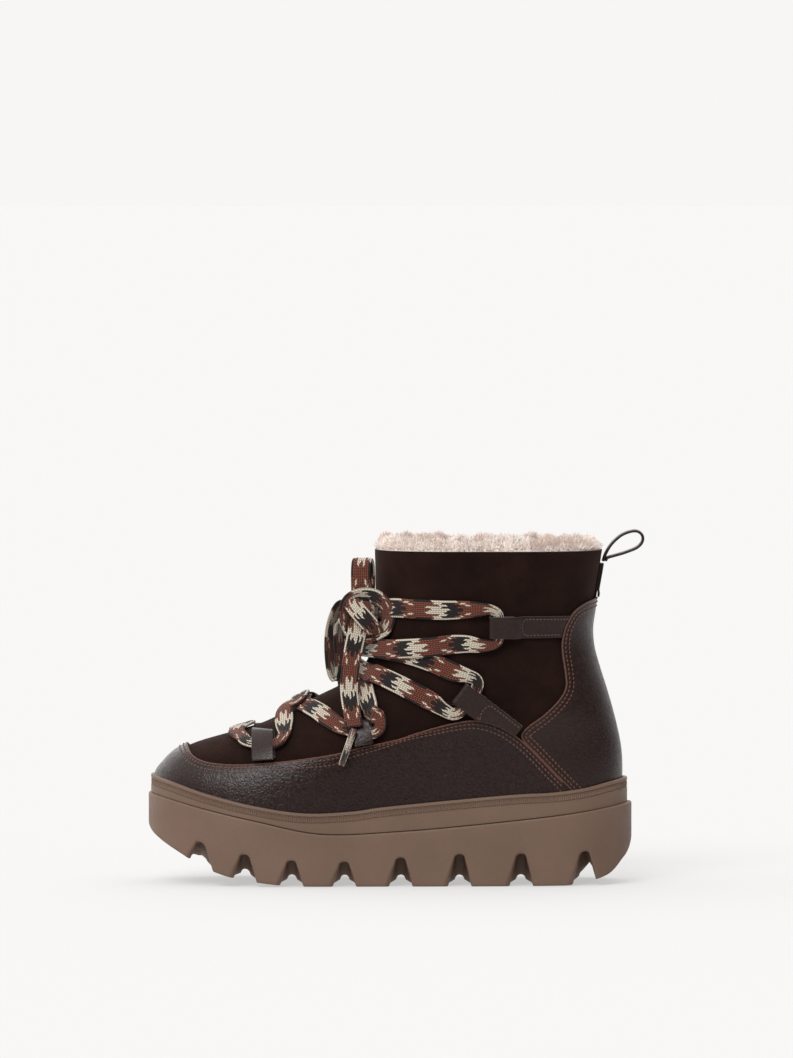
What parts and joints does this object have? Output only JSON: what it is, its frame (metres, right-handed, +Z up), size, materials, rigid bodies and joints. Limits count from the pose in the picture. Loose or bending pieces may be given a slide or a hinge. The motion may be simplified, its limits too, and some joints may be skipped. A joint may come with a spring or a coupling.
{
  "type": "lace-up winter boot",
  "caption": "Left ankle-high winter boot in suede and leather: pile lining, braided lace through leather loops, lugged platform sole, inside zip and heel pull loop.",
  "frame": {"origin": "on the ground, at the middle of the boot's length and width", "axes": "+X from toe to heel, +Y towards the wearer's other foot (inner side), +Z up"},
  "size_m": [0.2835, 0.1058, 0.2013],
  "materials": {
    "rubber_brown": "matt moulded rubber",
    "steel": "plain",
    "board": "fibre board",
    "foam": "foam",
    "pile": "curly wool pile",
    "suede_dark": "suede nap",
    "leather_dark": "pebbled, slightly waxed",
    "tape": "woven tape",
    "zip_metal": "dark antique",
    "braid": "flat braid in rust, cream and black",
    "aglet": "clear film over the braid"
  },
  "bodies": {
    "boot": {"outsole": "rubber_brown", "midsole": "rubber_brown", "shank": "steel", "insole_board": "board", "footbed": "pile", "lining": "pile", "insulation": "foam", "collar_fur": "pile", "toe_puff": "board", "heel_stiffener": "board", "mudguard": "leather_dark", "vamp": "suede_dark", "shaft_front": "suede_dark", "shaft_rear": "suede_dark", "heel_counter": "leather_dark", "strap_upper_lateral": "leather_dark", "strap_diagonal_lateral": "leather_dark", "loop_toe_lateral": "leather_dark", "loop_mid_lateral": "leather_dark", "loop_upper_medial": "leather_dark", "loop_diagonal_medial": "leather_dark", "loop_toe_medial": "leather_dark", "loop_mid_medial": "leather_dark", "pull_loop_base": "leather_dark", "zip_tape_front": "tape", "zip_tape_rear": "tape", "zip_teeth_front": "zip_metal", "zip_teeth_rear": "zip_metal", "zip_top_stops": "zip_metal", "zip_bottom_stop": "zip_metal", "zip_guard": "tape", "lace": "braid", "lace_knot": "braid"},
    "slider": {"zip_slider": "zip_metal"},
    "zip_tab": {"zip_pull": "zip_metal"},
    "heel_loop": {"pull_loop": "leather_dark"},
    "near_tail": {"lace_tail_near": "braid", "aglet_near": "aglet"},
    "far_tail": {"lace_tail_far": "braid", "aglet_far": "aglet"},
    "near_bow": {"bow_loop_near": "braid"},
    "far_bow": {"bow_loop_far": "braid"}
  },
  "joints": [
    {"name": "zip_slide", "type": "slide", "parent": "boot", "child": "slider", "axis": [0, -0.0576, -0.9983], "range_m": [0, 0.07]},
    {"name": "zip_tab_swing", "type": "hinge", "parent": "slider", "child": "zip_tab", "pos_m": [0.042, 0.04756, 0.17875], "axis": [1, 0, 0], "range_deg": [0, 170]},
    {"name": "heel_loop_bend", "type": "hinge", "parent": "boot", "child": "heel_loop", "pos_m": [0.1193, 0, 0.1836], "axis": [0, 1, 0], "range_deg": [-10, 45], "stiffness_Nm_per_rad": 0.004},
    {"name": "near_tail_swing", "type": "hinge", "parent": "boot", "child": "near_tail", "pos_m": [-0.0224, -0.031, 0.1455], "axis": [-1, 0, 0], "range_deg": [0, 40]},
    {"name": "far_tail_swing", "type": "hinge", "parent": "boot", "child": "far_tail", "pos_m": [-0.0246, -0.0026, 0.147], "axis": [1, 0, 0], "range_deg": [0, 30]},
    {"name": "near_bow_bend", "type": "hinge", "parent": "boot", "child": "near_bow", "pos_m": [-0.019, -0.0255, 0.1655], "axis": [1, 0, 0], "range_deg": [-10, 24], "stiffness_Nm_per_rad": 0.004},
    {"name": "far_bow_swing", "type": "hinge", "parent": "boot", "child": "far_bow", "pos_m": [-0.031, -0.0138, 0.158], "axis": [0, 1, 0], "range_deg": [0, 35]}
  ]
}
